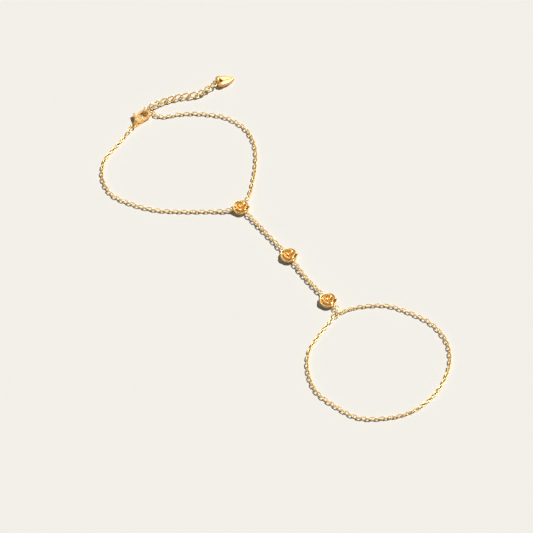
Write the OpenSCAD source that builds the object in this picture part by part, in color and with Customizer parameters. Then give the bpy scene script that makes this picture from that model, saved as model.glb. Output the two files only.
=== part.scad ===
// Hand chain bracelet of fine cable chain: a wrist loop and a palm loop joined by three roses,
// with a trigger clasp, an extender of curb links and a heart charm. It lies on a flat surface.

/* [Fine chain] */
// Distance from one fine link to the next
link_pitch = 1.58; // [1.57:0.01:1.62]
// Wire of a fine link
link_wire = 0.34; // [0.3:0.01:0.36]
// Play between two pieces of wire that are linked
play = 0.14; // [0.13:0.01:0.15]
// Roll of the fine links, to one side and then to the other
link_roll = 45; // [40:1:50]
// Height of a rose's eyes above the surface
eye_z = 1.1; // [0.9:0.05:1.3]
// How far the two short strands sag between their roses
strand_sag = 0.3; // [0:0.05:0.4]

/* [Extender chain] */
// Distance from one extender link to the next
curb_pitch = 2.8; // [2.7:0.05:2.9]
// Wire of an extender link
curb_wire = 0.5; // [0.4:0.02:0.54]
// Outer width of an extender link
curb_width = 2.4; // [2.2:0.05:2.6]
// Twist of each end of an extender link out of its middle plane
curb_twist = 30; // [26:1:36]
// Roll that turns the extender's middle links towards the front
curb_roll = 24; // [0:2:24]

/* [Jump rings] */
// Wire of the small jump rings
ring_wire = 0.34; // [0.3:0.01:0.36]
// Outer diameter of the jump ring at the clasp's tail
tail_ring_d = 1.9; // [1.85:0.05:2]
// Outer diameter of the jump ring that holds the right strand
strand_ring_d = 1.94; // [1.9:0.02:2]
// Outer diameter of the jump ring on the last rose
palm_ring_d = 2.2; // [2:0.05:2.4]
// Outer diameter of the jump ring that closes the palm loop
join_ring_d = 2.4; // [2.3:0.05:2.6]
// Outer diameter of the ring that the clasp hooks
hook_ring_d = 3.45; // [3.4:0.05:3.5]
// Wire of the ring that the clasp hooks
hook_ring_wire = 0.45; // [0.4:0.01:0.48]
// Outer diameter of the charm's jump ring
charm_ring_d = 3.7; // [3.65:0.05:3.8]
// Wire of the charm's jump ring
charm_ring_wire = 0.45; // [0.38:0.01:0.48]

/* [Roses] */
// Diameter over the outer petals
rose_d = 6.2; // [5.8:0.1:6.6]
// Height of the rose from its flat back to its heart
rose_h = 3; // [2.6:0.1:3.4]
// Thickness of a petal
petal_wall = 0.3; // [0.24:0.02:0.36]
// Outer diameter of the eye that holds the palm loop's ring
palm_eye_d = 1.6; // [1.5:0.05:1.7]

/* [Clasp] */
// Length from the middle of the tail ring to the end of the hook
clasp_l = 9; // [8.8:0.1:9.4]
// Width of the clasp over its jaws
clasp_w = 4.2; // [4:0.1:4.5]
// Thickness of the clasp's body
clasp_t = 2.3; // [2.2:0.05:2.5]
// Width and thickness of the hook's end, where the ring hangs
hook_bar = 0.9; // [0.8:0.05:0.95]
// Thickness of the lever
lever_t = 1; // [0.8:0.05:1.1]
// Gap between the lever and each cheek of the body
lever_gap = 0.06; // [0.04:0.01:0.1]
// How far the thumb tab stands out from the clasp's middle line
tab_reach = 3.6; // [3.3:0.1:3.9]
// Diameter of the lever's pin
pin_d = 0.8; // [0.7:0.05:0.9]
// Radial clearance of the lever on its pin
pin_play = 0.04; // [0.02:0.01:0.06]
// Outer diameter of the ring cast on the clasp's tail
tail_d = 2.1; // [2:0.05:2.2]
// Wire of the ring cast on the clasp's tail
tail_wire = 0.5; // [0.44:0.02:0.52]

/* [Charm] */
// Width of the heart over its two lobes
heart_w = 5.4; // [5.2:0.1:5.8]
// Length of the heart from its lobes to its tip
heart_l = 6.9; // [6.6:0.1:7.4]
// Thickness of the heart
heart_t = 1.8; // [1.6:0.05:1.9]
// Hole for the jump ring
heart_hole_d = 1.3; // [1.25:0.05:1.35]

/* [Hidden] */

GOLD = "#dca446";
PALE_GOLD = "#e6ba64";
CURVE = 32;
WIRE_CURVE = 20;

// Places of the main pieces on the surface
ROSES = [[-11, 16.1], [5.9, -6.8], [19.4, -27.9]];
HOOK_AT = [-45, 63.1];
HOOK_RING_AT = [-45.15, 63.3];
STRAND_RING_AT = [-43.7, 63.65];
CHARM_RING_AT = [-19.72, 77.56];
CLASP_TURN = 54;
hook_x = clasp_l - hook_bar / 2;
clasp_at = HOOK_AT - hook_x * [cos(CLASP_TURN), sin(CLASP_TURN)];
TAIL_RING_STEP = [-0.57, -0.93];
tail_ring_at = clasp_at + TAIL_RING_STEP;
HEART_AT = [-18.8, 78.5];
HEART_TURN = 20;
JOIN_AT = [22, -34.15];

// Routes of the chains, as points chosen along their middle lines
WRIST_LEFT = [[-13.7, 15], [-18, 14.7], [-23, 14.7], [-32, 14.7], [-41, 15.4], [-49.4, 18.2],
    [-57, 23], [-60.5, 31], [-59.8, 39.8], [-55.3, 47.4], [-52.4, 52], tail_ring_at];
WRIST_RIGHT = [STRAND_RING_AT, [-42.7, 62.6], [-41.6, 61.8], [-40.2, 61.35], [-38.7, 61.3],
    [-36.8, 61.6], [-34, 62.4], [-30.5, 62.8], [-26, 62.8], [-17, 61], [-9.8, 55.4],
    [-6.3, 47], [-5.9, 37.6], [-7, 28.3], [-8.1, 22.3], [-9.5, 18.6]];
STRAND_UPPER = [[-9.1, 13.9], [-2.4, 4.7], [4.2, -4.5]];
STRAND_LOWER = [[7.4, -9.3], [12.4, -17.8], [17.9, -25.4]];
PALM = [JOIN_AT, [25.5, -32.1], [30.4, -30.3], [39.5, -29.7], [48, -33.2], [55.4, -38.5],
    [60, -46.4], [60.9, -55.5], [58.5, -64.4], [53.6, -72.2], [46.7, -78.1], [38, -80.7],
    [29, -80.4], [21.4, -75.3], [15, -68.8], [12.2, -60], [12.6, -51], [16.6, -42.6],
    [20, -37.2], JOIN_AT];
EXTENDER = [HOOK_RING_AT, [-44.3, 64.4], [-43.3, 65.7], [-41.4, 67.2], [-38.3, 69], [-32.7, 71], [-26.8, 72.1], [-23.4, 74.4],
    CHARM_RING_AT];

// Fine link: the wire's middle line runs at link_r beside the axis, with straight sides
link_r = link_wire + play;
link_inner = link_pitch + play;
link_lie = link_r * sin(link_roll) + link_wire / 2;

// Curb link
curb_play = play + 0.08;
curb_r = (curb_width - curb_wire) / 2;
curb_inner = curb_pitch + curb_play;
curb_lie = curb_r * sin(curb_twist) + curb_wire / 2 + 0.02;
curb_end_turn = -35;
curb_lift = curb_r * (sin(curb_twist + curb_roll) - sin(curb_twist));
last_curb_z = 1.7;
curb_climb = 12;

// Rings: the radius of the wire's middle line
tail_ring_r = (tail_ring_d - ring_wire) / 2;
strand_ring_r = (strand_ring_d - ring_wire) / 2;
palm_ring_r = (palm_ring_d - ring_wire) / 2;
join_ring_r = (join_ring_d - ring_wire) / 2;
hook_ring_r = (hook_ring_d - hook_ring_wire) / 2;
charm_ring_r = (charm_ring_d - charm_ring_wire) / 2;
palm_eye_r = (palm_eye_d - link_wire) / 2;
tail_r = (tail_d - tail_wire) / 2;
hook_ring_tilt = 53;
hook_ring_turn = 43.5;
hook_ring_z = 1.47;
strand_ring_roll = -42.4;
strand_ring_turn = -47.4;
strand_ring_rise = 14.5;
charm_ring_turn = 38;
charm_ring_tilt = 90;

// Heights of the middle lines at the ends of the chains
clasp_z = clasp_t / 2;
join_z = link_r + link_wire / 2 + 0.1;
palm_ring_z = eye_z - 0.15;
palm_link_z = (palm_ring_z + join_z) / 2;
strand_ring_z = 0.75;
strand_start_z = 0.9;
charm_ring_z = charm_ring_r * sin(charm_ring_tilt) + charm_ring_wire / 2 + 0.01;
rose_ramp = 7;
ring_ramp = 5;
curb_ramp = 8;

// Routes as smooth curves: a table of x and y by the length run so far
CURVE_STEPS = 8;
function clamp_at(p, i) = p[max(0, min(len(p) - 1, i))];
function spline(a, b, c, d, t) =
    (2 * b + (c - a) * t + (2 * a - 5 * b + 4 * c - d) * t ^ 2
        + (3 * b - a - 3 * c + d) * t ^ 3) / 2;
function smooth(p) = [
    for (i = [0:len(p) - 2], k = [0:CURVE_STEPS - 1])
        spline(clamp_at(p, i - 1), p[i], p[i + 1], clamp_at(p, i + 2), k / CURVE_STEPS),
    p[len(p) - 1]];
function run_lengths(p) = [
    for (i = 0, s = 0; i < len(p); s = s + (i + 1 < len(p) ? norm(p[i + 1] - p[i]) : 0), i = i + 1)
        s];
function track(route) = let (p = smooth(route), s = run_lengths(p))
    [[for (i = [0:len(p) - 1]) [s[i], p[i][0]]], [for (i = [0:len(p) - 1]) [s[i], p[i][1]]],
        s[len(s) - 1]];
function track_length(t) = t[2];
function track_at(t, s) = [lookup(s, t[0]), lookup(s, t[1])];
function heading(t, s) = let (d = track_at(t, s + 0.4) - track_at(t, s - 0.4)) atan2(d[1], d[0]);

// Fade from 1 at an end to 0 one ramp away from it
function fade(s, ramp) = let (u = max(0, min(1, s / ramp))) 1 - u * u * (3 - 2 * u);

// A strand: its track, the gaps to its first and last link, the heights of its ends and of its
// run, the ramps between them, the rolls that its first and last links end at, its sag, and the
// roll that the alternate links start from
TRACK = 0;
GAPS = 1;
ENDS = 2;
LIE = 3;
RAMPS = 4;
END_ROLLS = 5;
SAG = 6;
BASE = 7;
ring_gap = link_inner / 2 - play - ring_wire / 2;
wrist_left = [track(WRIST_LEFT), [link_pitch, tail_ring_r + ring_gap],
    [eye_z, clasp_z], link_lie, [rose_ramp, ring_ramp], [undef, 0], 0, link_roll];
wrist_right = [track(WRIST_RIGHT), [strand_ring_r + ring_gap, link_pitch],
    [strand_start_z, eye_z], link_lie, [ring_ramp, rose_ramp], [undef, undef], 0, -link_roll];
strand_up = [track(STRAND_UPPER), [link_pitch, link_pitch],
    [eye_z, eye_z], eye_z, [rose_ramp, rose_ramp], [undef, undef], strand_sag, link_roll];
strand_low = [track(STRAND_LOWER), [link_pitch, link_pitch],
    [eye_z, eye_z], eye_z, [rose_ramp, rose_ramp], [undef, undef], strand_sag, link_roll];
palm_gap = join_ring_r + ring_gap;
palm = [track(PALM), [palm_gap, palm_gap],
    [join_z, join_z], link_lie, [rose_ramp, rose_ramp], [90, 90], 0, link_roll];

function steps(c) = ceil((track_length(c[TRACK]) - c[GAPS][0] - c[GAPS][1]) / link_pitch - 0.05);
function true_pitch(c) = (track_length(c[TRACK]) - c[GAPS][0] - c[GAPS][1]) / steps(c);
function link_s(c, i) = c[GAPS][0] + (i - 1) * true_pitch(c);
// Swell from nothing at an end to one in the middle, for a chain whose middle links are raised
SWELL = [3, 0.8];
function swell(s, l) =
    pow(sin(180 * max(0, min(1, (s - SWELL[0]) / (SWELL[1] * l - SWELL[0])))), 2);
function height(c, s) = let (l = track_length(c[TRACK]))
    c[LIE] + (c[ENDS][0] - c[LIE]) * fade(s - c[GAPS][0], c[RAMPS][0])
        + (c[ENDS][1] - c[LIE]) * fade(l - c[GAPS][1] - s, c[RAMPS][1])
        - c[SAG] * (c[SAG] < 0 ? swell(s, l) : sin(180 * s / l));
// Shortest turn from one roll to another, where half a turn makes no difference
function turn_to(to, from) = is_undef(to) ? 0 : to - from - 180 * round((to - from) / 180);
function plain_roll(c, i) = 90 * i + c[BASE];
function roll(c, i) = let (s = link_s(c, i), l = track_length(c[TRACK]), n = steps(c) + 1)
    plain_roll(c, i)
        + turn_to(c[END_ROLLS][0], plain_roll(c, 1)) * fade(s - c[GAPS][0], c[RAMPS][0])
        + turn_to(c[END_ROLLS][1], plain_roll(c, n)) * fade(l - c[GAPS][1] - s, c[RAMPS][1]);

// Put a piece on a strand, its x axis along the strand
module on_strand(c, s, turn) {
    here = track_at(c[TRACK], s);
    slope = height(c, s + 0.4) - height(c, s - 0.4);
    translate([here[0], here[1], height(c, s)])
        rotate([0, -atan(slope / 0.8), heading(c[TRACK], s)])
            rotate([turn, 0, 0]) children();
}

// Wire pieces, all with their axis along x
module bow(r, wire, curve = CURVE, wire_curve = WIRE_CURVE) {
    rotate([0, 0, -90])
        rotate_extrude(angle = 180, $fn = curve)
            translate([r, 0]) circle(d = wire, $fn = wire_curve);
}

module ring(r, wire, curve = CURVE, wire_curve = WIRE_CURVE) {
    rotate_extrude($fn = curve)
        translate([r, 0]) circle(d = wire, $fn = wire_curve);
}

module link(curve = CURVE, wire_curve = WIRE_CURVE) {
    straight = link_inner - 2 * (link_r - link_wire / 2);
    for (side = [0, 180])
        rotate([0, 0, side]) {
            translate([straight / 2, 0, 0]) bow(link_r, link_wire, curve, wire_curve);
            translate([-straight / 2, link_r, 0]) rotate([0, 90, 0])
                cylinder(d = link_wire, h = straight, $fn = wire_curve);
        }
}

// Wire from a to b, with a ball at each end that is a little wider than the wire
BALL = 1.06;
module rod(a, b, d) {
    way = b - a;
    translate(a)
        rotate([0, acos(way[2] / norm(way)), atan2(way[1], way[0])])
            cylinder(d = d, h = norm(way), $fn = WIRE_CURVE);
    for (end = [a, b]) translate(end) sphere(d = BALL * d, $fn = CURVE);
}

module curb_link() {
    half = (curb_inner - 2 * (curb_r - curb_wire / 2)) / 2;
    y = curb_r * cos(curb_twist);
    z = curb_r * sin(curb_twist);
    for (side = [0, 180])
        rotate([0, 0, side]) {
            rotate([curb_twist, 0, 0]) translate([half, 0, 0]) bow(curb_r, curb_wire);
            rod([-half, y, -z], [half, y, z], curb_wire);
        }
}

module strand(c, first, last) {
    for (i = [first:last]) on_strand(c, link_s(c, i), roll(c, i)) link();
}

module whole_strand(c) {
    strand(c, 1, steps(c) + 1);
}

module wrist_chain_left() {
    color(PALE_GOLD) whole_strand(wrist_left);
}

module wrist_chain_right() {
    color(PALE_GOLD) whole_strand(wrist_right);
}

module strand_upper() {
    color(PALE_GOLD) whole_strand(strand_up);
}

module strand_lower() {
    color(PALE_GOLD) whole_strand(strand_low);
}

palm_half = round(steps(palm) / 2);
module palm_chain_right() {
    color(PALE_GOLD) strand(palm, 1, palm_half);
}

module palm_chain_left() {
    color(PALE_GOLD) strand(palm, palm_half + 1, steps(palm) + 1);
}

// Petals of a rose. Turn and spread are in degrees, radii are shares of the rose's radius and
// heights are shares of its height.
TURN = 0;
SPREAD = 1;
FOOT_R = 2;
BELLY_R = 3;
RIM_R = 4;
FOOT_Z = 5;
RIM_Z = 6;
PETALS = [
    [54, 92, 0.45, 0.90, 0.95, 0.06, 0.62],
    [126, 92, 0.45, 0.90, 0.95, 0.06, 0.64],
    [198, 92, 0.45, 0.90, 0.95, 0.06, 0.56],
    [270, 104, 0.45, 0.90, 0.97, 0.06, 0.58],
    [342, 92, 0.45, 0.90, 0.95, 0.06, 0.56],
    [90, 130, 0.28, 0.56, 0.62, 0.20, 0.84],
    [212, 130, 0.28, 0.58, 0.64, 0.20, 0.80],
    [330, 130, 0.28, 0.57, 0.63, 0.20, 0.82],
    [30, 150, 0.22, 0.30, 0.33, 0.30, 0.97],
    [210, 150, 0.23, 0.31, 0.34, 0.30, 1.00]];
PETAL_STEPS = 6;
PETAL_LAP = 0.07;
PETAL_ROUND = 0.11;
PETAL_DROP = 0.16;
FOOT_SHARE = 0.15;

// Section of a petal at t from -1 to 1 across its spread, from the foot up the outside, over
// the rim and down the inside
function petal_section(p, t) = let (
    r = rose_d / 2,
    w = petal_wall,
    in = 1 - PETAL_ROUND * t * t + PETAL_LAP * t,
    foot = [p[FOOT_R] * r, p[FOOT_Z] * rose_h],
    rim = [p[RIM_R] * r * in, p[RIM_Z] * rose_h * (1 - PETAL_DROP * t * t)],
    belly = [p[BELLY_R] * r * in, foot[1] + (rim[1] - foot[1]) * 0.45])
    [foot, belly - [0, w / 3], rim - [0, 0.4 * w], rim - [w / 2, 0], rim - [w, 0.4 * w],
        belly - [w, 0], foot + [-w, 0.8 * w]];

module petal(p) {
    n = 7;
    points = [
        for (i = [0:PETAL_STEPS])
            let (t = 2 * i / PETAL_STEPS - 1, a = p[TURN] + t * p[SPREAD] / 2)
                for (q = petal_section(p, t)) [q[0] * cos(a), q[0] * sin(a), q[1]]];
    sides = [
        for (i = [0:PETAL_STEPS - 1], j = [0:n - 1])
            let (a = i * n + j, b = i * n + (j + 1) % n)
                for (f = [[a, b + n, a + n], [a, b, b + n]]) f];
    caps = [[for (j = [n - 1:-1:0]) j], [for (j = [0:n - 1]) PETAL_STEPS * n + j]];
    polyhedron(points, concat(sides, caps));
}

// Foot that carries a petal on the rose's flat back
module petal_foot(p) {
    hull() {
        cylinder(r = FOOT_SHARE * rose_d, h = rose_h * p[RIM_Z] / 2, $fn = 8);
        rotate(p[TURN]) translate([rose_d * p[RIM_R] * 0.3, 0, 0])
            cylinder(r = FOOT_SHARE * rose_d, h = rose_h * p[RIM_Z] / 5, $fn = 8);
    }
}

module rose() {
    for (p = PETALS) {
        petal(p);
        petal_foot(p);
    }
}

EYE_CURVE = 18;
EYE_WIRE_CURVE = 8;
module first_eye(c) {
    on_strand(c, 0, roll(c, 0)) link(EYE_CURVE, EYE_WIRE_CURVE);
}

module last_eye(c) {
    on_strand(c, track_length(c[TRACK]), roll(c, steps(c) + 2)) link(EYE_CURVE, EYE_WIRE_CURVE);
}

PALM_EYE_TURN = -50;
palm_eye_out = rose_d / 2 + 0.1;
module palm_eye() {
    rotate(PALM_EYE_TURN)
        translate([palm_eye_out, 0, eye_z])
            rotate([90, 0, 0]) ring(palm_eye_r, link_wire, EYE_CURVE, EYE_WIRE_CURVE);
}

module rose_at(i) {
    translate([ROSES[i][0], ROSES[i][1], 0]) rose();
}

module rose_1() {
    color(GOLD) {
        rose_at(0);
        first_eye(wrist_left);
        last_eye(wrist_right);
        first_eye(strand_up);
    }
}

module rose_2() {
    color(GOLD) {
        rose_at(1);
        last_eye(strand_up);
        first_eye(strand_low);
    }
}

module rose_3() {
    color(GOLD) {
        rose_at(2);
        last_eye(strand_low);
        translate([ROSES[2][0], ROSES[2][1], 0]) palm_eye();
    }
}

// Rings between the last rose and the palm loop
palm_ring_out = palm_eye_out + palm_eye_r - link_wire / 2 - play - ring_wire / 2 + palm_ring_r;
palm_ring_at = ROSES[2] + palm_ring_out * [cos(PALM_EYE_TURN), sin(PALM_EYE_TURN)];
join_way = JOIN_AT - palm_ring_at;
join_turn = atan2(join_way[1], join_way[0]);
palm_link_at = JOIN_AT - (join_ring_r + ring_gap) * [cos(join_turn), sin(join_turn)];
palm_link_fall = atan((palm_ring_z - join_z) / norm(join_way));

module palm_ring() {
    color(GOLD) translate([palm_ring_at[0], palm_ring_at[1], palm_ring_z])
        ring(palm_ring_r, ring_wire);
}

module palm_link() {
    color(GOLD) translate([palm_link_at[0], palm_link_at[1], palm_link_z])
        rotate([0, palm_link_fall, join_turn]) rotate([90, 0, 0]) link();
}

module join_ring() {
    color(GOLD) translate([JOIN_AT[0], JOIN_AT[1], join_z]) ring(join_ring_r, ring_wire);
}

// Extender
curb_ring_gap = curb_inner / 2 - play - hook_ring_wire / 2;
charm_ring_gap = curb_inner / 2 - play - charm_ring_wire / 2;
extender = [track(EXTENDER), [hook_ring_r + curb_ring_gap - 0.07,
    charm_ring_r + charm_ring_gap - 0.05],
    [hook_ring_z, last_curb_z], curb_lie, [curb_ramp, curb_climb], [undef, undef], -curb_lift, 0];
curb_steps = ceil((track_length(extender[TRACK]) - extender[GAPS][0] - extender[GAPS][1])
    / curb_pitch - 0.2);
curb_step = (track_length(extender[TRACK]) - extender[GAPS][0] - extender[GAPS][1]) / curb_steps;

module extender_chain() {
    l = track_length(extender[TRACK]);
    color(GOLD)
        for (i = [0:curb_steps]) {
            s = extender[GAPS][0] + i * curb_step;
            on_strand(extender, s, curb_roll * swell(s, l)
                + curb_end_turn * fade(l - s - extender[GAPS][1], curb_ramp))
                    curb_link();
        }
}

module charm_ring() {
    color(GOLD) translate([CHARM_RING_AT[0], CHARM_RING_AT[1], charm_ring_z])
        rotate([0, 0, charm_ring_turn]) rotate([charm_ring_tilt, 0, 0])
            ring(charm_ring_r, charm_ring_wire);
}

// Heart: two puffed lobes drawn out to one tip, its lobes resting on the ring that holds it
HEART_TIP_R = 0.6;
HEART_CURVE = 28;
HEART_HOLE = [0.1, -0.15];
heart_lobe_r = heart_w * 0.28;
heart_lobe_y = heart_w / 2 - heart_lobe_r;
heart_tip_x = heart_l - heart_lobe_r - HEART_TIP_R;
heart_lobe_z = 1.25;
dimple_r = 1.3;
dimple_wall = 0.7;

module heart() {
    for (side = [-1, 1])
        hull() {
            translate([0, side * heart_lobe_y, heart_lobe_z])
                scale([1, 1, heart_t / 2 / heart_lobe_r])
                    sphere(r = heart_lobe_r, $fn = HEART_CURVE);
            translate([heart_tip_x * 0.48, side * heart_lobe_y * 0.72, heart_lobe_z * 0.8])
                scale([1, 1, 0.6]) sphere(r = heart_lobe_r * 0.85, $fn = HEART_CURVE);
            translate([heart_tip_x, 0, HEART_TIP_R]) sphere(r = HEART_TIP_R, $fn = HEART_CURVE);
        }
}

module heart_charm() {
    color(GOLD) translate([HEART_AT[0], HEART_AT[1], 0]) rotate(HEART_TURN)
        difference() {
            heart();
            translate([HEART_HOLE[0], HEART_HOLE[1], 0])
                cylinder(d = heart_hole_d, h = heart_lobe_z + heart_t, $fn = CURVE);
            for (side = [-1, 1])
                translate([HEART_HOLE[0], HEART_HOLE[1],
                    heart_lobe_z + side * (dimple_wall / 2 + dimple_r)])
                    sphere(r = dimple_r, $fn = CURVE);
        }
}

// Clasp, with x from the middle of its tail ring to its hook and its lever's tab to the left
clasp_r = clasp_w / 2;
neck_r = 0.75;
neck_x = tail_r + tail_wire / 2 + neck_r - 0.3;
head_x = clasp_l - clasp_r;
claw_r = clasp_r - hook_bar;
claw_x0 = clasp_l * 0.55;
nose_x = clasp_l * 0.7;
thin_x = clasp_l * 0.83;
pin_at = [clasp_l / 3, -0.2];
slot_x0 = 1.8;
slot_x1 = 3.95;
slot_y = 0.9;
cheek_x = claw_x0 - 0.7;
slot_t = lever_t + 2 * lever_gap;
tail_t = 1.2;
gate_gap = 0.08;
hub_r = 0.8;
tab_x = pin_at[0] - 0.05;
tab_w = 0.65;
tab_r = 0.42;
tab_knee = 1.6;
tab_lean = 1.75;
tab_end = [pin_at[0] + tab_lean, tab_reach - tab_r];

module in_clasp() {
    translate([clasp_at[0], clasp_at[1], clasp_z]) rotate(CLASP_TURN) children();
}

module slab(t) {
    linear_extrude(height = t, center = true) children();
}

module clasp_outline() {
    lean = asin((clasp_r - neck_r) / (head_x - neck_x));
    translate([head_x, 0]) circle(r = clasp_r, $fn = CURVE);
    translate([neck_x, 0]) circle(r = neck_r, $fn = CURVE);
    polygon([for (k = [-1, 1], e = [[head_x, clasp_r], [neck_x, neck_r]])
        let (a = k == -1 ? e : e == [head_x, clasp_r] ? [neck_x, neck_r] : [head_x, clasp_r])
            [a[0] - a[1] * sin(lean), -k * a[1] * cos(lean)]]);
}

// Thickness along the clasp: full at the pin, thin at the neck and at the hook's end
module clasp_side() {
    full = clasp_t / 2;
    rotate([90, 0, 0]) slab(2 * clasp_w)
        polygon([for (k = [-1, 1], e = k == -1
            ? [[0, tail_t / 2], [slot_x0, full], [claw_x0, full], [thin_x, hook_bar / 2],
                [clasp_l + 1, hook_bar / 2]]
            : [[clasp_l + 1, hook_bar / 2], [thin_x, hook_bar / 2], [claw_x0, full],
                [slot_x0, full], [0, tail_t / 2]]) [e[0], -k * e[1]]]);
}

module claw() {
    translate([head_x, 0]) circle(r = claw_r, $fn = CURVE);
    translate([claw_x0, -claw_r]) square([head_x - claw_x0, 2 * claw_r]);
}

module clasp_body() {
    color(GOLD) in_clasp() {
        difference() {
            intersection() {
                slab(clasp_t) clasp_outline();
                clasp_side();
            }
            slab(2 * clasp_t) claw();
            slab(2 * clasp_t) translate([cheek_x, -clasp_w])
                square([nose_x - cheek_x, clasp_w - slot_y]);
            slab(slot_t) polygon([[slot_x0, -clasp_w], [slot_x0, clasp_w], [slot_x1, clasp_w],
                [slot_x1, slot_y], [head_x, slot_y], [head_x - 0.8, -clasp_w]]);
            translate([pin_at[0], pin_at[1], -clasp_t])
                cylinder(d = pin_d + pin_play, h = 2 * clasp_t, $fn = CURVE);
        }
        ring(tail_r, tail_wire);
    }
}

module clasp_lever() {
    gate_end = nose_x - gate_gap;
    color(GOLD) in_clasp()
        difference() {
            union() {
                slab(lever_t) intersection() {
                    clasp_outline();
                    polygon([[pin_at[0] - 0.1, -0.9], [pin_at[0] + 1.2, -clasp_w],
                        [gate_end, -clasp_w], [gate_end, -claw_r - 0.05],
                        [claw_x0, -claw_r + 0.1], [pin_at[0] + 0.5, 0.4]]);
                }
                slab(lever_t) translate(pin_at) circle(r = hub_r, $fn = CURVE);
                slab(lever_t) polygon([[tab_x, 0], [tab_x, tab_knee], tab_end + [-0.31, 0.28],
                    tab_end + [0.31, -0.28], [tab_x + tab_w, tab_knee - 0.35],
                    [tab_x + tab_w, 0]]);
                slab(lever_t) translate(tab_end) circle(r = tab_r, $fn = CURVE);
            }
            translate([pin_at[0], pin_at[1], -clasp_t])
                cylinder(d = pin_d + 2 * pin_play, h = 2 * clasp_t, $fn = CURVE);
        }
}

module clasp_pin() {
    color(PALE_GOLD) in_clasp()
        translate([pin_at[0], pin_at[1], 0.05 - clasp_t / 2])
            cylinder(d = pin_d, h = clasp_t - 0.1, $fn = CURVE);
}

module tail_ring() {
    color(GOLD) on_strand(wrist_left, track_length(wrist_left[TRACK]),
        90) ring(tail_ring_r, ring_wire);
}

module hook_ring() {
    color(GOLD) translate([HOOK_RING_AT[0], HOOK_RING_AT[1], hook_ring_z])
        rotate([0, 0, hook_ring_turn]) rotate([hook_ring_tilt, 0, 0])
            ring(hook_ring_r, hook_ring_wire);
}

module strand_ring() {
    color(GOLD) translate([STRAND_RING_AT[0], STRAND_RING_AT[1], strand_ring_z])
        rotate([0, -strand_ring_rise, strand_ring_turn]) rotate([strand_ring_roll, 0, 0])
            ring(strand_ring_r, ring_wire);
}

wrist_chain_left();
wrist_chain_right();
strand_upper();
strand_lower();
palm_chain_right();
palm_chain_left();
rose_1();
rose_2();
rose_3();
extender_chain();
heart_charm();
charm_ring();
clasp_body();
clasp_lever();
clasp_pin();
tail_ring();
hook_ring();
strand_ring();
palm_ring();
palm_link();
join_ring();
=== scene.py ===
"""Looks of a gold hand chain: fine cable chain, three roses, trigger clasp, extender and heart charm."""

import math

import bmesh
import bpy
from bpy.props import FloatProperty, FloatVectorProperty, PointerProperty
from mathutils import Matrix, Vector


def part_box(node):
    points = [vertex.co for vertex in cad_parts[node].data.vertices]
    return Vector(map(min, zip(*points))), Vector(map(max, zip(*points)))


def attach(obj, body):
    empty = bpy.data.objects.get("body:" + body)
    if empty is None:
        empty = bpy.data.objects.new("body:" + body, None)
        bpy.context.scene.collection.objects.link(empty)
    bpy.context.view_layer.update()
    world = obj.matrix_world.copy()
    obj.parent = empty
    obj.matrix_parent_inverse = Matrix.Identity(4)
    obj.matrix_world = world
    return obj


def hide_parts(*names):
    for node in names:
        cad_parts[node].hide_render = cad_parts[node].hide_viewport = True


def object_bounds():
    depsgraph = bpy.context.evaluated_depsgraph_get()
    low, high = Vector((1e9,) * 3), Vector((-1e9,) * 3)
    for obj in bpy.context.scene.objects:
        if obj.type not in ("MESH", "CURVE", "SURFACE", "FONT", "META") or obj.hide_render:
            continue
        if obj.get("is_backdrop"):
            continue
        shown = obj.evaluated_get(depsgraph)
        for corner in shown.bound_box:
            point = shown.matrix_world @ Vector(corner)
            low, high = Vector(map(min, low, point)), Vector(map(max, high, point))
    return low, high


bl_info = {
    "name": "Hand Chain Looks",
    "version": (1, 0, 0),
    "blender": (4, 5, 0),
    "location": "View3D > Sidebar > Hand Chain",
    "description": "Dresses the hand chain's solids in polished gold and lays them on a pale floor",
    "category": "Object",
}

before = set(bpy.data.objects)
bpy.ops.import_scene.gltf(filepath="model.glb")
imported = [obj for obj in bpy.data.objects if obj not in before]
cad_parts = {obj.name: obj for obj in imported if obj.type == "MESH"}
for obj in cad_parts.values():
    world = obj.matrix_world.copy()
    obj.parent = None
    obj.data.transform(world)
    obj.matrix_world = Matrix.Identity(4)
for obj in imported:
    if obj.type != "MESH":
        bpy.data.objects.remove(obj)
CAD_LOW, CAD_HIGH = (Vector(corner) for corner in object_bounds())
MM = 0.001
# Points nearer to each other than this, in metres, are one point
WELD = 1e-7

# Places in the part's own layout, in mm: the middle of each rose, the point that the camera
# looks at, and the ring that ties the layout to the frame
ROSE_AT = {"rose_1": (-11.0, 16.1), "rose_2": (5.9, -6.8), "rose_3": (19.4, -27.9)}
LOOK_AT = (-2.0, -11.0)
KNOWN_RING = "join_ring"
KNOWN_RING_AT = (22.0, -34.15)

# The camera's distance in metres, and its lens and sensor in millimetres
CAMERA_AWAY = 1.5
CAMERA_LENS = 289.5
CAMERA_SENSOR = 36

# The light that casts the shadows: where it comes from, its width and its tint, and the sky's tint
KEY_FROM = (0.65, 0.42, 1.0)
KEY_WIDTH = math.radians(3)
KEY_TINT = (1.0, 0.985, 0.96)
SKY_TINT = (0.78, 0.9, 1.0)

# Softboxes that show in the gold: name, place and side in metres, power in watts
SOFTBOXES = (
    ("softbox_top", (-0.3, -0.3, 1.0), 1.2, 3.6),
    ("softbox_left", (-0.9, -0.2, 0.5), 0.7, 1.6),
    ("softbox_back", (0.1, 0.9, 0.6), 0.8, 1.8),
)

# The floor: half its width in metres, its depth under the jewel, its roughness and its shine
FLOOR_HALF_WIDTH = 3.0
FLOOR_GAP = 0.02 * MM
FLOOR_ROUGHNESS = 0.9
FLOOR_SHINE = 0.1

# Shares of the gold's red, green and blue where it is dull, where it is bright, and where painted shade
# darkens and browns its low parts
DULL_SHARES = (0.9, 0.84, 0.72)
BRIGHT_SHARES = (1.04, 1.07, 1.16)
PAINTED_SHADE_SHARES = (0.95, 0.88, 0.76)
# Part of a noise's range that is spread over a whole change of tone or gloss
CLOUD_FROM, CLOUD_TO = 0.3, 0.7
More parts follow.
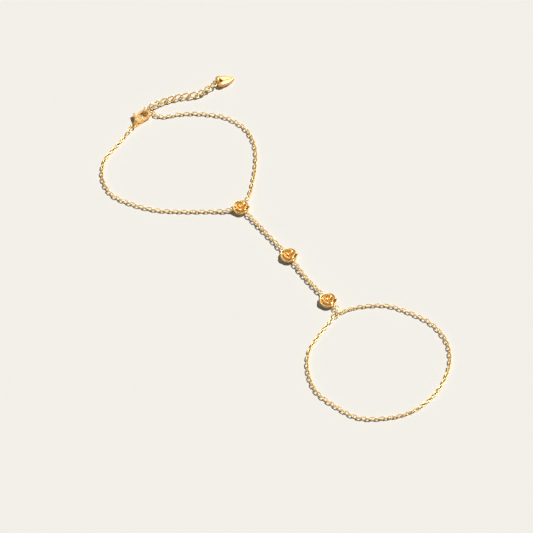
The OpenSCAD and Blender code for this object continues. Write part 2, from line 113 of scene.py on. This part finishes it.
# Roughness where the polish is best and worst, as shares of the mean
GLOSS_FROM, GLOSS_TO = 0.7, 1.45
# Fine marks: their strength, and their depth as a share of the grain
MARK_STRENGTH = 0.25
MARK_DEPTH = 0.006
# Height where the painted shade of the low parts starts to fade, as a share of the height where it has
# gone
PAINTED_SHADE_FROM = 0.1

# Finishes: the setting that holds the colour, the roughness as a share of the mean roughness,
# the height over which the painted shade of the low parts fades, and the grain of the clouds and marks
FINISHES = {
    "chain_gold": ("chain", 1.0, 1.0 * MM, 1.2 * MM),
    "ring_gold": ("chain", 0.9, 1.4 * MM, 1.6 * MM),
    "rose_gold_tone": ("casting", 1.1, 2.2 * MM, 1.5 * MM),
    "heart_gold": ("polished", 1.35, 1.6 * MM, 2.5 * MM),
    "clasp_gold": ("polished", 1.1, 1.5 * MM, 2.0 * MM),
}
CHAIN_NODES = (
    "wrist_chain_left", "wrist_chain_right", "strand_upper", "strand_lower", "palm_chain_right",
    "palm_chain_left", "palm_ring", "palm_link", "join_ring", "tail_ring", "strand_ring",
)
RING_NODES = ("extender_chain", "hook_ring", "charm_ring", "clasp_pin")

# Petals of a rose: turn and spread in degrees, radii as shares of the rose's radius, heights
# as shares of its height. The belly lies at BELLY_UP of the way from foot to rim.
PETAL_COLUMNS = ("turn", "spread", "foot_r", "belly_r", "rim_r", "foot_z", "rim_z")
PETALS = [
    (54, 92, 0.45, 0.90, 0.95, 0.06, 0.62),
    (126, 92, 0.45, 0.90, 0.95, 0.06, 0.64),
    (198, 92, 0.45, 0.90, 0.95, 0.06, 0.56),
    (270, 104, 0.45, 0.90, 0.97, 0.06, 0.58),
    (342, 92, 0.45, 0.90, 0.95, 0.06, 0.56),
    (90, 130, 0.28, 0.56, 0.62, 0.20, 0.84),
    (212, 130, 0.28, 0.58, 0.64, 0.20, 0.80),
    (330, 130, 0.28, 0.57, 0.63, 0.20, 0.82),
    (30, 150, 0.22, 0.30, 0.33, 0.30, 0.97),
    (210, 150, 0.23, 0.31, 0.34, 0.30, 1.00),
]
BELLY_UP = 0.45
# How far a petal's side edges draw in, lean to one side and drop, as shares of its own size
PETAL_ROUND = 0.11
PETAL_LAP = 0.07
PETAL_DROP = 0.16
# Cells of a petal across it and from foot to rim
PETAL_CELLS = (16, 8)
# Radius of a petal's rounded edges as a share of its sheet, their steps, and the least angle
# between faces that makes an edge sharp
PETAL_EDGE = 0.3
PETAL_EDGE_STEPS = 2
SHARP_EDGE = math.radians(60)

# Section of the foot that carries the petals, from its middle below to its middle above, as
# shares of the rose's radius and height
FOOT_PROFILE = (
    (0.0, 0.0), (0.80, 0.0), (0.86, 0.03), (0.87, 0.08), (0.84, 0.12), (0.60, 0.17),
    (0.40, 0.24), (0.30, 0.36), (0.22, 0.46), (0.0, 0.5),
)
FOOT_STEPS = 40

# Eyes soldered to the roses: the rose, the chain that hangs in it, and the eye's place in the
# layout in mm, which is the end of that chain's route. An eye's heading and roll are read from
# the chain's links near it: alternate links are rolled one way and the other by LINK_ROLL.
EYES = (
    ("rose_1", "wrist_chain_left", -13.7, 15.0),
    ("rose_1", "wrist_chain_right", -9.5, 18.6),
    ("rose_1", "strand_upper", -9.1, 13.9),
    ("rose_2", "strand_upper", 4.2, -4.5),
    ("rose_2", "strand_lower", 7.4, -9.3),
    ("rose_3", "strand_lower", 17.9, -25.4),
)
LINK_ROLL = math.radians(45)
# The two links nearest to an eye lie within this distance of it
LINK_REACH = 6 * MM
EYE_STRAIGHT = 1.1 * MM
EYE_RADIUS = 0.48 * MM
EYE_WIRE = 0.34 * MM
# Round eye that holds the palm loop: its rose, its heading, and how far its middle lies beyond
# the rose's petals. Its straight sides are next to nothing.
PALM_EYE_ROSE = "rose_3"
PALM_EYE_TURN = math.radians(-50)
PALM_EYE_GAP = 0.1 * MM
PALM_EYE_STRAIGHT = 0.001 * MM
PALM_EYE_RADIUS = 0.63 * MM
# Sides of the round wire, and steps in half a turn of it
WIRE_SIDES = 10
BEND_STEPS = 10

# Castings: grain of the copy, and rounds of smoothing that soften its edges
HEART_GRAIN = 0.08 * MM
HEART_ROUNDS = 50
CLASP_GRAIN = 0.045 * MM
CLASP_ROUNDS = 7
LEVER_ROUNDS = 5
SMOOTHING = 0.5


class GoldSettings(bpy.types.PropertyGroup):
    """Colours and gloss of the gold."""

    chain: FloatVectorProperty(
        name="Chain gold", description="Colour of the fine chain and its rings",
        subtype="COLOR", size=3, min=0, max=1, default=(0.98, 0.725, 0.335))
    casting: FloatVectorProperty(
        name="Rose gold tone", description="Colour of the roses",
        subtype="COLOR", size=3, min=0, max=1, default=(0.98, 0.735, 0.36))
    polished: FloatVectorProperty(
        name="Cast gold", description="Colour of the clasp and the heart",
        subtype="COLOR", size=3, min=0, max=1, default=(0.95, 0.61, 0.24))
    gloss: FloatProperty(
        name="Roughness", description="Mean roughness of the polished gold",
        min=0.05, max=0.6, default=0.33, subtype="FACTOR")


class RoseSettings(bpy.types.PropertyGroup):
    """Sizes of a rose."""

    width: FloatProperty(
        name="Width", description="Width of a rose over its outer petals",
        default=6.2 * MM, unit="LENGTH", precision=4)
    height: FloatProperty(
        name="Height", description="Height of a rose's inner petals",
        default=3.0 * MM, unit="LENGTH", precision=4)
    sheet: FloatProperty(
        name="Petal sheet", description="Thickness of a petal",
        default=0.3 * MM, unit="LENGTH", precision=5)
    eye_height: FloatProperty(
        name="Eye height", description="Height of a rose's eyes above the surface",
        default=1.1 * MM, unit="LENGTH", precision=5)


class StageSettings(bpy.types.PropertyGroup):
    """The floor, the lights and the camera."""

    floor: FloatVectorProperty(
        name="Floor colour", description="Colour of the pale floor",
        subtype="COLOR", size=3, min=0, max=1, default=(0.865, 0.846, 0.802))
    key: FloatProperty(
        name="Key light", description="Strength of the light that casts the short shadows",
        min=0, max=20, default=3.8)
    fill: FloatProperty(
        name="Fill light", description="Strength of the soft light from all round",
        min=0, max=5, default=0.09)
    elevation: FloatProperty(
        name="Camera elevation", description="Height of the camera above the surface, as an angle",
        subtype="ANGLE", default=math.radians(48))


def on_layout(x, y):
    """The frame's point for a point of the layout in mm, found from the ring whose place is known."""
    low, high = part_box(KNOWN_RING)
    return Vector(((low.x + high.x) / 2 + (x - KNOWN_RING_AT[0]) * MM,
                   (low.y + high.y) / 2 + (y - KNOWN_RING_AT[1]) * MM, 0))


def new_piece(name, bm, body, finish):
    """Make a finished piece of a bmesh that is already in its place."""
    bmesh.ops.recalc_face_normals(bm, faces=bm.faces)
    mesh = bpy.data.meshes.new(name)
    bm.to_mesh(mesh)
    bm.free()
    for face in mesh.polygons:
        face.use_smooth = True
    mesh.materials.append(finish)
    piece = bpy.data.objects.new(name, mesh)
    bpy.context.scene.collection.objects.link(piece)
    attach(piece, body)
    return piece


def node(tree, kind, place, **values):
    """Add a shader node and set its inputs by name."""
    made = tree.nodes.new(kind)
    made.location = place
    for name, value in values.items():
        made.inputs[name.replace("_", " ")].default_value = value
    return made


def tinted(colour, shares):
    """A colour with its parts scaled, as the four numbers that a shader takes."""
    return (*(min(1, part * share) for part, share in zip(colour, shares)), 1)


def map_range(tree, place, source, span, target):
    """Add a node that carries one span of values over to another."""
    made = node(tree, "ShaderNodeMapRange", place, From_Min=span[0], From_Max=span[1],
                To_Min=target[0], To_Max=target[1])
    tree.links.new(source, made.inputs["Value"])
    return made


def noise(tree, place, source, **values):
    """Add a noise that follows the object's own coordinates."""
    made = node(tree, "ShaderNodeTexNoise", place, **values)
    tree.links.new(source, made.inputs["Vector"])
    return made


def gold_finish(name, gold):
    """Polished gold with painted shade that darkens and browns its low parts, cloudy gloss and fine
    polishing marks.
    """
    setting, share, painted_shade_height, grain = FINISHES[name]
    colour = getattr(gold, setting)
    gloss = gold.gloss * share
    finish = bpy.data.materials.new(name)
    finish.use_nodes = True
    tree = finish.node_tree
    shader = tree.nodes["Principled BSDF"]
    shader.inputs["Metallic"].default_value = 1.0
    shader.inputs["Specular IOR Level"].default_value = 0.5
    here = tree.nodes.new("ShaderNodeTexCoord").outputs["Object"]

    # Slow changes of tone over each piece
    tone = noise(tree, (-1050, 250), here, Scale=0.9 / grain, Detail=3.0, Roughness=0.6)
    ramp = node(tree, "ShaderNodeValToRGB", (-800, 250))
    dull, bright = ramp.color_ramp.elements
    dull.position, dull.color = CLOUD_FROM, tinted(colour, DULL_SHARES)
    bright.position, bright.color = CLOUD_TO, tinted(colour, BRIGHT_SHARES)
    tree.links.new(tone.outputs["Fac"], ramp.inputs["Fac"])

    # Painted shade: low places are painted darker and browner, and this fades out with height
    split = node(tree, "ShaderNodeSeparateXYZ", (-1050, 0))
    tree.links.new(here, split.inputs["Vector"])
    low = map_range(tree, (-800, 0), split.outputs["Z"], (PAINTED_SHADE_FROM * painted_shade_height, painted_shade_height), (0.0, 1.0))
    painted_shade_mix = node(tree, "ShaderNodeMix", (-520, 200))
    painted_shade_mix.data_type = "RGBA"
    painted_shade_mix.inputs["A"].default_value = tinted(colour, PAINTED_SHADE_SHARES)
    tree.links.new(low.outputs["Result"], painted_shade_mix.inputs["Factor"])
    tree.links.new(ramp.outputs["Color"], painted_shade_mix.inputs["B"])
    tree.links.new(painted_shade_mix.outputs["Result"], shader.inputs["Base Color"])

    # Gloss in clouds, and fine marks
    cloud = noise(tree, (-1050, -250), here, Scale=1.6 / grain, Detail=4.0, Roughness=0.55)
    worn = map_range(tree, (-800, -250), cloud.outputs["Fac"], (CLOUD_FROM, CLOUD_TO),
                     (gloss * GLOSS_FROM, gloss * GLOSS_TO))
    tree.links.new(worn.outputs["Result"], shader.inputs["Roughness"])
    marks = noise(tree, (-1050, -500), here, Scale=5.0 / grain, Detail=2.0, Roughness=0.5)
    bump = node(tree, "ShaderNodeBump", (-520, -450), Strength=MARK_STRENGTH,
                Distance=MARK_DEPTH * grain)
    tree.links.new(marks.outputs["Fac"], bump.inputs["Height"])
    tree.links.new(bump.outputs["Normal"], shader.inputs["Normal"])
    return finish


def dress(names, finish):
    """Give CAD nodes a finish."""
    for name in names:
        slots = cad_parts[name].data.materials
        slots.clear()
        slots.append(finish)


def cast_copy(name, piece_name, body, finish, grain, rounds):
    """A copy of a solid with its edges softened all over, as a cast and tumbled piece has them."""
    bm = bmesh.new()
    bm.from_mesh(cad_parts[name].data)
    bmesh.ops.remove_doubles(bm, verts=bm.verts, dist=WELD)
    mesh = bpy.data.meshes.new(piece_name + "_rough")
    bm.to_mesh(mesh)
    bm.free()
    rough = bpy.data.objects.new(piece_name + "_rough", mesh)
    bpy.context.scene.collection.objects.link(rough)
    remesh = rough.modifiers.new("Remesh", "REMESH")
    remesh.mode = "VOXEL"
    remesh.voxel_size = grain
    soften = rough.modifiers.new("Soften", "SMOOTH")
    soften.factor = SMOOTHING
    soften.iterations = rounds
    bpy.context.view_layer.update()
    soft = bpy.data.meshes.new_from_object(
        rough.evaluated_get(bpy.context.evaluated_depsgraph_get()))
    bpy.data.objects.remove(rough)
    bpy.data.meshes.remove(mesh)
    bm = bmesh.new()
    bm.from_mesh(soft)
    bpy.data.meshes.remove(soft)
    piece = new_piece(piece_name, bm, body, finish)
    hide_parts(name)
    return piece


def petal_point(petal, t, up, width, height):
    """A point of a petal's outer face, t from -1 to 1 across it and up from foot to rim."""
    r = width / 2
    inward = 1 - PETAL_ROUND * t * t + PETAL_LAP * t
    foot = petal["foot_r"] * r
    belly = petal["belly_r"] * r * inward
    rim = petal["rim_r"] * r * inward
    foot_z = petal["foot_z"] * height
    rim_z = petal["rim_z"] * height * (1 - PETAL_DROP * t * t)
    over = 1 - BELLY_UP
    out = (foot * (up - BELLY_UP) * (up - 1) / BELLY_UP - belly * up * (up - 1) / (BELLY_UP * over)
           + rim * up * (up - BELLY_UP) / over)
    turn = math.radians(petal["turn"] + t * petal["spread"] / 2)
    return Vector((out * math.cos(turn), out * math.sin(turn), foot_z + (rim_z - foot_z) * up))


def move_into(bm, other):
    """Add another bmesh to this one and free it."""
    part = bpy.data.meshes.new("part")
    other.to_mesh(part)
    other.free()
    bm.from_mesh(part)
    bpy.data.meshes.remove(part)


def add_petal(bm, petal, settings):
    """Add one petal of even thickness, its edges rounded."""
    sheet = bmesh.new()
    bmesh.ops.create_grid(sheet, x_segments=PETAL_CELLS[0], y_segments=PETAL_CELLS[1], size=1)
    for v in sheet.verts:
        v.co = petal_point(petal, v.co.x, (v.co.y + 1) / 2, settings.width, settings.height)
    bmesh.ops.recalc_face_normals(sheet, faces=sheet.faces)
    middle = math.radians(petal["turn"])
    outward = Vector((math.cos(middle), math.sin(middle), 0))
    if sum((f.normal for f in sheet.faces), Vector()).dot(outward) < 0:
        bmesh.ops.reverse_faces(sheet, faces=sheet.faces)
    bmesh.ops.solidify(sheet, geom=sheet.faces[:], thickness=settings.sheet)
    sharp = [e for e in sheet.edges
             if len(e.link_faces) == 2 and e.calc_face_angle(0) > SHARP_EDGE]
    bmesh.ops.bevel(
        sheet, geom=sharp, offset=PETAL_EDGE * settings.sheet, offset_type="OFFSET",
        segments=PETAL_EDGE_STEPS, profile=0.5, affect="EDGES", material=-1, clamp_overlap=True)
    move_into(bm, sheet)


def add_foot(bm, settings):
    """Add the flat foot that rises to the middle of the rose."""
    r, h = settings.width / 2, settings.height
    verts = [bm.verts.new((r * a, 0, h * z)) for a, z in FOOT_PROFILE]
    edges = [bm.edges.new(pair) for pair in zip(verts, verts[1:])]
    bmesh.ops.spin(
        bm, geom=verts + edges, cent=(0, 0, 0), axis=(0, 0, 1), angle=math.tau,
        steps=FOOT_STEPS, use_merge=True, use_duplicate=False)
    bmesh.ops.remove_doubles(bm, verts=bm.verts, dist=WELD)


def wire_loop(straight, radius, wire):
    """A closed loop of round wire about the origin: two half turns and two straight sides."""
    bm = bmesh.new()
    bmesh.ops.create_circle(
        bm, cap_ends=False, segments=WIRE_SIDES, radius=wire / 2,
        matrix=Matrix.Translation((straight / 2, -radius, 0)) @ Matrix.Rotation(math.pi / 2, 4, "Y"))
    first = bm.edges[:]
    ends = bmesh.ops.spin(
        bm, geom=bm.verts[:] + first, cent=(straight / 2, 0, 0), axis=(0, 0, 1), angle=math.pi,
        steps=BEND_STEPS, use_merge=False, use_duplicate=False)["geom_last"]
    ends = [e for e in ends if isinstance(e, bmesh.types.BMEdge)]
    side = bmesh.ops.extrude_edge_only(bm, edges=ends)["geom"]
    bmesh.ops.translate(
        bm, verts=[g for g in side if isinstance(g, bmesh.types.BMVert)], vec=(-straight, 0, 0))
    ends = [g for g in side if isinstance(g, bmesh.types.BMEdge)
            and all(abs(v.co.x + straight / 2) < WELD for v in g.verts)]
    last = bmesh.ops.spin(
        bm, geom=list({v for e in ends for v in e.verts}) + ends, cent=(-straight / 2, 0, 0),
        axis=(0, 0, 1), angle=math.pi, steps=BEND_STEPS, use_merge=False,
        use_duplicate=False)["geom_last"]
    last = [e for e in last if isinstance(e, bmesh.types.BMEdge)]
    bmesh.ops.bridge_loops(bm, edges=first + last)
    bmesh.ops.remove_doubles(bm, verts=bm.verts, dist=WELD)
    return bm


def add_loop(bm, loop, place):
    """Add a wire loop at its place."""
    bmesh.ops.transform(loop, matrix=place, verts=loop.verts)
    move_into(bm, loop)


def nearest_links(chain, place, count):
    """The points of each of the chain's links that come nearest to a place, nearest first."""
    bm = bmesh.new()
    bm.from_mesh(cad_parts[chain].data)
    far = [v for v in bm.verts if (v.co - place).length > LINK_REACH]
    bmesh.ops.delete(bm, geom=far, context="VERTS")
    bmesh.ops.remove_doubles(bm, verts=bm.verts, dist=WELD)
    left = set(bm.verts)
    links = []
    while len(links) < count:
        link = set()
        reached = {min(left, key=lambda v: (v.co - place).length)}
        while reached:
            link |= reached
            reached = {e.other_vert(v) for v in reached for e in v.link_edges} - link
        left -= link
        links.append([v.co.copy() for v in link])
    bm.free()
    return links


def middle_of(points):
    """The middle of the box round some points."""
    return Vector([(min(values) + max(values)) / 2 for values in zip(*points)])


def eye_turn(chain, place):
    """The turn of an eye, which carries on the line of the chain and crosses its last link."""
    last, before = nearest_links(chain, place, 2)
    middle = middle_of(last)
    way = middle - middle_of(before)
    heading = math.atan2(way.y, way.x)
    side = Vector((-math.sin(heading), math.cos(heading), 0))
    lean = sum((point - middle).dot(side) * (point.z - middle.z) for point in last)
    roll = math.copysign(LINK_ROLL, -lean)
    return Matrix.Rotation(heading, 4, "Z") @ Matrix.Rotation(roll, 4, "X")


class OBJECT_OT_gold_chain(bpy.types.Operator):
    """Give the fine chain, the rings and the extender their polished gold"""

    bl_idname = "object.gold_chain"
    bl_label = "Gold Chain"

    def execute(self, context):
        gold = context.scene.hand_chain_gold
        dress(CHAIN_NODES, gold_finish("chain_gold", gold))
        dress(RING_NODES, gold_finish("ring_gold", gold))
        return {"FINISHED"}


class OBJECT_OT_gold_roses(bpy.types.Operator):
    """Build the three roses of thin curved petals on a foot, with their soldered eyes"""

    bl_idname = "object.gold_roses"
    bl_label = "Gold Roses"

    def execute(self, context):
        gold = context.scene.hand_chain_gold
        rose = context.scene.hand_chain_rose
        finish = gold_finish("rose_gold_tone", gold)
        for name, at in ROSE_AT.items():
            bm = bmesh.new()
            for row in PETALS:
                add_petal(bm, dict(zip(PETAL_COLUMNS, row)), rose)
            add_foot(bm, rose)
            bmesh.ops.translate(bm, verts=bm.verts, vec=on_layout(*at))
            for eye_rose, chain, x, y in EYES:
                if eye_rose == name:
                    self.add_eye(bm, chain, on_layout(x, y), rose)
            if name == PALM_EYE_ROSE:
                self.add_palm_eye(bm, on_layout(*at), rose)
            piece = new_piece(name + "_petals", bm, "bracelet", finish)
            smooth = piece.modifiers.new("Smooth", "SUBSURF")
            smooth.levels = smooth.render_levels = 1
            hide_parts(name)
        return {"FINISHED"}

    def add_eye(self, bm, chain, place, rose):
        """Add the eye that a chain's last link hangs in."""
        place.z = rose.eye_height
        turn = eye_turn(chain, place)
        add_loop(bm, wire_loop(EYE_STRAIGHT, EYE_RADIUS, EYE_WIRE), Matrix.Translation(place) @ turn)

    def add_palm_eye(self, bm, middle, rose):
        """Add the upright round eye that holds the palm loop's ring."""
        out = rose.width / 2 + PALM_EYE_GAP
        place = (Matrix.Translation(middle) @ Matrix.Rotation(PALM_EYE_TURN, 4, "Z")
                 @ Matrix.Translation((out, 0, rose.eye_height))
                 @ Matrix.Rotation(math.pi / 2, 4, "X"))
        add_loop(bm, wire_loop(PALM_EYE_STRAIGHT, PALM_EYE_RADIUS, EYE_WIRE), place)


class OBJECT_OT_gold_heart(bpy.types.Operator):
    """Round the puffed heart off, as a pressed and polished charm"""

    bl_idname = "object.gold_heart"
    bl_label = "Gold Heart"

    def execute(self, context):
        gold = context.scene.hand_chain_gold
        finish = gold_finish("heart_gold", gold)
        cast_copy("heart_charm", "heart_charm_puffed", "bracelet", finish,
                  HEART_GRAIN, HEART_ROUNDS)
        return {"FINISHED"}


class OBJECT_OT_gold_clasp(bpy.types.Operator):
    """Soften the clasp's casting and its lever"""

    bl_idname = "object.gold_clasp"
    bl_label = "Gold Clasp"

    def execute(self, context):
        gold = context.scene.hand_chain_gold
        finish = gold_finish("clasp_gold", gold)
        cast_copy("clasp_body", "clasp_casting", "bracelet", finish,
                  CLASP_GRAIN, CLASP_ROUNDS)
        cast_copy("clasp_lever", "clasp_lever_cast", "lever", finish,
                  CLASP_GRAIN, LEVER_ROUNDS)
        return {"FINISHED"}


class OBJECT_OT_gold_stage(bpy.types.Operator):
    """Lay the pale floor and set the lights and the camera"""

    bl_idname = "object.gold_stage"
    bl_label = "Stage"

    def execute(self, context):
        stage = context.scene.hand_chain_stage
        self.add_floor(stage)
        self.add_lights(stage)
        self.add_camera(stage)
        context.scene.view_settings.view_transform = "Standard"
        return {"FINISHED"}

    def add_floor(self, stage):
        """Lay a wide pale floor just under the jewel."""
        bm = bmesh.new()
        bmesh.ops.create_grid(bm, x_segments=1, y_segments=1, size=FLOOR_HALF_WIDTH)
        bmesh.ops.translate(bm, verts=bm.verts, vec=(0, 0, CAD_LOW.z - FLOOR_GAP))
        mesh = bpy.data.meshes.new("floor")
        bm.to_mesh(mesh)
        bm.free()
        finish = bpy.data.materials.new("pale_floor")
        finish.use_nodes = True
        shader = finish.node_tree.nodes["Principled BSDF"]
        shader.inputs["Base Color"].default_value = (*stage.floor, 1)
        shader.inputs["Roughness"].default_value = FLOOR_ROUGHNESS
        shader.inputs["Specular IOR Level"].default_value = FLOOR_SHINE
        mesh.materials.append(finish)
        floor = bpy.data.objects.new("floor", mesh)
        bpy.context.scene.collection.objects.link(floor)
        floor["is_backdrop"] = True

    def add_lights(self, stage):
        """Set the sky, the light that casts the shadows and the softboxes."""
        world = bpy.context.scene.world or bpy.data.worlds.new("studio")
        bpy.context.scene.world = world
        world.use_nodes = True
        back = world.node_tree.nodes["Background"]
        back.inputs["Color"].default_value = (*SKY_TINT, 1)
        back.inputs["Strength"].default_value = stage.fill
        key = bpy.data.lights.new("key", "SUN")
        key.energy = stage.key
        key.angle = KEY_WIDTH
        key.color = KEY_TINT
        lamp = bpy.data.objects.new("key", key)
        lamp.rotation_euler = Vector(KEY_FROM).to_track_quat("Z", "Y").to_euler()
        bpy.context.scene.collection.objects.link(lamp)
        for name, place, side, power in SOFTBOXES:
            data = bpy.data.lights.new(name, "AREA")
            data.shape = "SQUARE"
            data.size = side
            data.energy = power
            box = bpy.data.objects.new(name, data)
            box.location = place
            box.rotation_euler = Vector(place).to_track_quat("Z", "Y").to_euler()
            box.visible_diffuse = False  # it shows in the gold and leaves the floor's light alone
            bpy.context.scene.collection.objects.link(box)

    def add_camera(self, stage):
        """Set the camera that sees the jewel as the photograph does."""
        look = on_layout(*LOOK_AT)
        way = Vector((0, -math.cos(stage.elevation), math.sin(stage.elevation)))
        data = bpy.data.cameras.new("photo_camera")
        data.sensor_width = CAMERA_SENSOR
        data.lens = CAMERA_LENS
        camera = bpy.data.objects.new("photo_camera", data)
        camera.location = look + CAMERA_AWAY * way
        camera.rotation_euler = way.to_track_quat("Z", "Y").to_euler()
        bpy.context.scene.collection.objects.link(camera)
        bpy.context.scene.camera = camera


class VIEW3D_PT_hand_chain(bpy.types.Panel):
    """The hand chain's steps and settings"""

    bl_label = "Hand Chain"
    bl_space_type = "VIEW_3D"
    bl_region_type = "UI"
    bl_category = "Hand Chain"

    def draw(self, context):
        for settings in (context.scene.hand_chain_gold, context.scene.hand_chain_rose,
                         context.scene.hand_chain_stage):
            box = self.layout.box()
            for name in settings.__annotations__:
                box.prop(settings, name)
        for step in STEPS:
            self.layout.operator(step.bl_idname)


STEPS = (OBJECT_OT_gold_stage, OBJECT_OT_gold_chain, OBJECT_OT_gold_roses, OBJECT_OT_gold_heart,
         OBJECT_OT_gold_clasp)
CLASSES = (GoldSettings, RoseSettings, StageSettings, *STEPS, VIEW3D_PT_hand_chain)


def register():
    for cls in CLASSES:
        bpy.utils.register_class(cls)
    bpy.types.Scene.hand_chain_gold = PointerProperty(type=GoldSettings)
    bpy.types.Scene.hand_chain_rose = PointerProperty(type=RoseSettings)
    bpy.types.Scene.hand_chain_stage = PointerProperty(type=StageSettings)


def unregister():
    del bpy.types.Scene.hand_chain_gold
    del bpy.types.Scene.hand_chain_rose
    del bpy.types.Scene.hand_chain_stage
    for cls in reversed(CLASSES):
        bpy.utils.unregister_class(cls)


def main():
    register()
    bpy.ops.object.gold_stage()
    bpy.ops.object.gold_chain()
    bpy.ops.object.gold_roses()
    bpy.ops.object.gold_heart()
    bpy.ops.object.gold_clasp()


if __name__ == "__main__":
    main()
